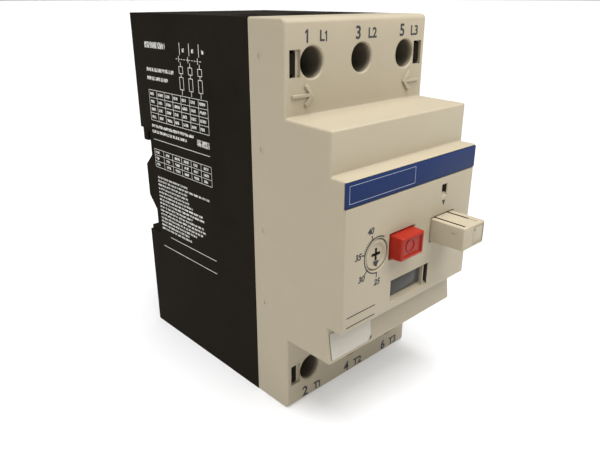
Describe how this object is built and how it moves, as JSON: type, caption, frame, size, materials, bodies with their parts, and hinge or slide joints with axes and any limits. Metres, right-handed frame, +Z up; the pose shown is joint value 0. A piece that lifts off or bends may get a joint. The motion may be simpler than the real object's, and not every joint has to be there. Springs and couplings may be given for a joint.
{
  "type": "motor protection breaker",
  "caption": "Rail-mounted motor protection breaker: black base, stepped beige cover, red stop and beige start push buttons, current setting dial and screw terminals above and below.",
  "frame": {"origin": "centre of the bounding box's bottom, on the surface the breaker stands on", "axes": "+X across the poles to the right as seen from the front, +Z up from the load side to the line side, the front panel faces -Y"},
  "size_m": [0.0616, 0.1156, 0.122],
  "materials": {
    "black_plastic": "fine moulded texture",
    "beige_plastic": "satin moulded",
    "grey_plastic": "satin moulded",
    "red_plastic": "satin moulded",
    "blue_label": "printed plate",
    "white_tag": "plain writing surface",
    "zinc_steel": "zinc plated",
    "spring_steel": "drawn wire",
    "copper": "plain copper strip",
    "bimetal_brass": "rolled bimetal strip"
  },
  "bodies": {
    "housing": {"rear_base": "black_plastic", "front_cover": "beige_plastic", "label_band": "blue_label", "marker_tag": "white_tag", "window_plate": "grey_plastic", "mechanism_frame": "zinc_steel", "latch_pin": "zinc_steel", "line_conductor_1": "copper", "contact_conductor_1": "copper", "arc_chute_1": "zinc_steel", "magnet_coil_1": "copper", "magnet_yoke_1": "zinc_steel", "bimetal_1": "bimetal_brass", "load_conductor_1": "copper", "line_conductor_2": "copper", "contact_conductor_2": "copper", "arc_chute_2": "zinc_steel", "magnet_coil_2": "copper", "magnet_yoke_2": "zinc_steel", "bimetal_2": "bimetal_brass", "load_conductor_2": "copper", "line_conductor_3": "copper", "contact_conductor_3": "copper", "arc_chute_3": "zinc_steel", "magnet_coil_3": "copper", "magnet_yoke_3": "zinc_steel", "bimetal_3": "bimetal_brass", "load_conductor_3": "copper", "start_spring": "spring_steel", "stop_spring": "spring_steel", "carrier_spring": "spring_steel", "rail_latch_spring": "spring_steel"},
    "start_button": {"start_button": "beige_plastic"},
    "start_lock_tab": {"start_lock_tab": "beige_plastic"},
    "stop_button": {"stop_button": "red_plastic"},
    "latch_lever": {"latch_lever": "zinc_steel"},
    "current_dial": {"current_dial": "beige_plastic"},
    "test_lever": {"test_lever": "grey_plastic"},
    "trip_bar": {"trip_bar": "grey_plastic"},
    "contact_carrier": {"contact_carrier": "grey_plastic", "contact_bridge_1": "copper", "contact_bridge_2": "copper", "contact_bridge_3": "copper"},
    "rail_latch": {"rail_latch": "grey_plastic"},
    "magnet_plunger_1": {"magnet_plunger_1": "zinc_steel"},
    "magnet_plunger_2": {"magnet_plunger_2": "zinc_steel"},
    "magnet_plunger_3": {"magnet_plunger_3": "zinc_steel"},
    "terminal_screw_1": {"terminal_screw_1": "zinc_steel"},
    "terminal_cage_1": {"terminal_cage_1": "zinc_steel"},
    "terminal_screw_2": {"terminal_screw_2": "zinc_steel"},
    "terminal_cage_2": {"terminal_cage_2": "zinc_steel"},
    "terminal_screw_3": {"terminal_screw_3": "zinc_steel"},
    "terminal_cage_3": {"terminal_cage_3": "zinc_steel"},
    "terminal_screw_4": {"terminal_screw_4": "zinc_steel"},
    "terminal_cage_4": {"terminal_cage_4": "zinc_steel"},
    "terminal_screw_5": {"terminal_screw_5": "zinc_steel"},
    "terminal_cage_5": {"terminal_cage_5": "zinc_steel"},
    "terminal_screw_6": {"terminal_screw_6": "zinc_steel"},
    "terminal_cage_6": {"terminal_cage_6": "zinc_steel"}
  },
  "joints": [
    {"name": "start_press", "type": "slide", "parent": "housing", "child": "start_button", "axis": [0, 1, 0], "range_m": [0, 0.006], "stiffness_N_per_m": 400, "springref_m": -0.004, "deforming": ["start_spring"]},
    {"name": "start_lock_pull", "type": "slide", "parent": "start_button", "child": "start_lock_tab", "axis": [0, -1, 0], "range_m": [0, 0.008]},
    {"name": "carrier_travel", "type": "slide", "parent": "housing", "child": "contact_carrier", "axis": [0, 1, 0], "range_m": [0, 0.006], "stiffness_N_per_m": 150, "springref_m": -0.005, "deforming": ["carrier_spring"]},
    {"name": "stop_press", "type": "slide", "parent": "housing", "child": "stop_button", "axis": [0, 1, 0], "range_m": [0, 0.003], "stiffness_N_per_m": 600, "springref_m": -0.003, "deforming": ["stop_spring"]},
    {"name": "latch_turn", "type": "hinge", "parent": "housing", "child": "latch_lever", "pos_m": [-0.006, -0.01725, 0.07], "axis": [1, 0, 0], "range_deg": [0, 16.5]},
    {"name": "dial_turn", "type": "hinge", "parent": "housing", "child": "current_dial", "pos_m": [-0.01665, -0.04615, 0.0591], "axis": [0, 1, 0], "range_deg": [0, 157]},
    {"name": "test_turn", "type": "hinge", "parent": "housing", "child": "test_lever", "pos_m": [0.0148, -0.02225, 0.0775], "axis": [0, -1, 0], "range_deg": [0, 12], "stiffness_Nm_per_rad": 0.02, "springref_deg": -11.46},
    {"name": "trip_travel", "type": "slide", "parent": "housing", "child": "trip_bar", "axis": [1, 0, 0], "range_m": [0, 0.0031]},
    {"name": "rail_latch_pull", "type": "slide", "parent": "housing", "child": "rail_latch", "axis": [0, 0, -1], "range_m": [0, 0.003], "stiffness_N_per_m": 800, "springref_m": -0.004, "deforming": ["rail_latch_spring"]},
    {"name": "plunger_1_travel", "type": "slide", "parent": "housing", "child": "magnet_plunger_1", "axis": [0, -1, 0], "range_m": [0, 0.004], "stiffness_N_per_m": 150, "springref_m": -0.004},
    {"name": "plunger_2_travel", "type": "slide", "parent": "housing", "child": "magnet_plunger_2", "axis": [0, -1, 0], "range_m": [0, 0.004], "stiffness_N_per_m": 150, "springref_m": -0.004},
    {"name": "plunger_3_travel", "type": "slide", "parent": "housing", "child": "magnet_plunger_3", "axis": [0, -1, 0], "range_m": [0, 0.004], "stiffness_N_per_m": 150, "springref_m": -0.004},
    {"name": "screw_1_turn", "type": "hinge", "parent": "housing", "child": "terminal_screw_1", "pos_m": [-0.0205, -0.01225, 0.1103], "axis": [0, 1, 0], "range_deg": [0, 2026]},
    {"name": "cage_1_travel", "type": "slide", "parent": "housing", "child": "terminal_cage_1", "axis": [0, -1, 0], "range_m": [0, 0.0045]},
    {"name": "screw_2_turn", "type": "hinge", "parent": "housing", "child": "terminal_screw_2", "pos_m": [-0.0205, -0.01225, 0.0117], "axis": [0, 1, 0], "range_deg": [0, 2026]},
    {"name": "cage_2_travel", "type": "slide", "parent": "housing", "child": "terminal_cage_2", "axis": [0, -1, 0], "range_m": [0, 0.0045]},
    {"name": "screw_3_turn", "type": "hinge", "parent": "housing", "child": "terminal_screw_3", "pos_m": [0, -0.01225, 0.1103], "axis": [0, 1, 0], "range_deg": [0, 2026]},
    {"name": "cage_3_travel", "type": "slide", "parent": "housing", "child": "terminal_cage_3", "axis": [0, -1, 0], "range_m": [0, 0.0045]},
    {"name": "screw_4_turn", "type": "hinge", "parent": "housing", "child": "terminal_screw_4", "pos_m": [0, -0.01225, 0.0117], "axis": [0, 1, 0], "range_deg": [0, 2026]},
    {"name": "cage_4_travel", "type": "slide", "parent": "housing", "child": "terminal_cage_4", "axis": [0, -1, 0], "range_m": [0, 0.0045]},
    {"name": "screw_5_turn", "type": "hinge", "parent": "housing", "child": "terminal_screw_5", "pos_m": [0.0205, -0.01225, 0.1103], "axis": [0, 1, 0], "range_deg": [0, 2026]},
    {"name": "cage_5_travel", "type": "slide", "parent": "housing", "child": "terminal_cage_5", "axis": [0, -1, 0], "range_m": [0, 0.0045]},
    {"name": "screw_6_turn", "type": "hinge", "parent": "housing", "child": "terminal_screw_6", "pos_m": [0.0205, -0.01225, 0.0117], "axis": [0, 1, 0], "range_deg": [0, 2026]},
    {"name": "cage_6_travel", "type": "slide", "parent": "housing", "child": "terminal_cage_6", "axis": [0, -1, 0], "range_m": [0, 0.0045]}
  ],
  "couplings": [
    {"joint": "carrier_travel", "follows": "start_press", "ratio": 1},
    {"joint": "latch_turn", "follows": "stop_press", "rad_per_m": 95},
    {"joint": "test_turn", "follows": "trip_travel", "rad_per_m": 66.667},
    {"joint": "screw_1_turn", "follows": "cage_1_travel", "rad_per_m": 7854},
    {"joint": "screw_2_turn", "follows": "cage_2_travel", "rad_per_m": 7854},
    {"joint": "screw_3_turn", "follows": "cage_3_travel", "rad_per_m": 7854},
    {"joint": "screw_4_turn", "follows": "cage_4_travel", "rad_per_m": 7854},
    {"joint": "screw_5_turn", "follows": "cage_5_travel", "rad_per_m": 7854},
    {"joint": "screw_6_turn", "follows": "cage_6_travel", "rad_per_m": 7854}
  ]
}
